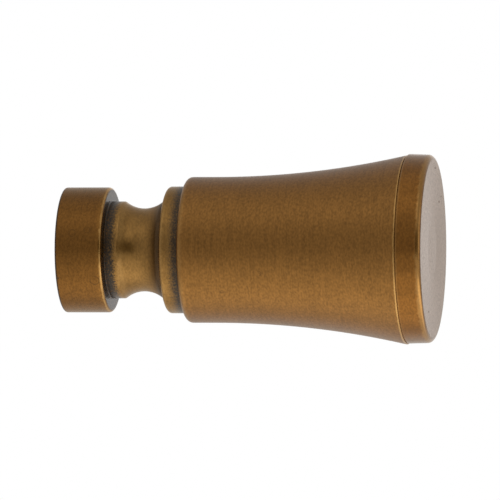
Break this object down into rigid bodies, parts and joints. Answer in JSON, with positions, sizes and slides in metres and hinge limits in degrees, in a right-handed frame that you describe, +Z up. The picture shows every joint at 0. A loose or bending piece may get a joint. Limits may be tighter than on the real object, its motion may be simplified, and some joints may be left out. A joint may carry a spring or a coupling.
{
  "type": "curtain pole finial",
  "caption": "Turned metal curtain pole finial: pole socket collar, coved neck, shoulder ring, hollow flared barrel and dished end cap.",
  "frame": {"origin": "centre of the flat floor of the pole socket, where the end of the pole stops", "axes": "+X along the turned axis from the pole towards the end cap, +Z up with the pole level"},
  "size_m": [0.0981, 0.0496, 0.0499],
  "materials": {
    "bronzed_brass": "burnished antique bronze, finely brushed round the axis, dark patina left in the recesses",
    "zinc_steel": "plain bright steel, hidden inside the barrel",
    "black_steel": "black oxide"
  },
  "bodies": {
    "root": {"socket_neck": "bronzed_brass", "flared_body": "bronzed_brass", "end_cap": "bronzed_brass", "fixing_screw": "zinc_steel", "washer": "zinc_steel", "grub_screw": "black_steel"}
  },
  "joints": []
}
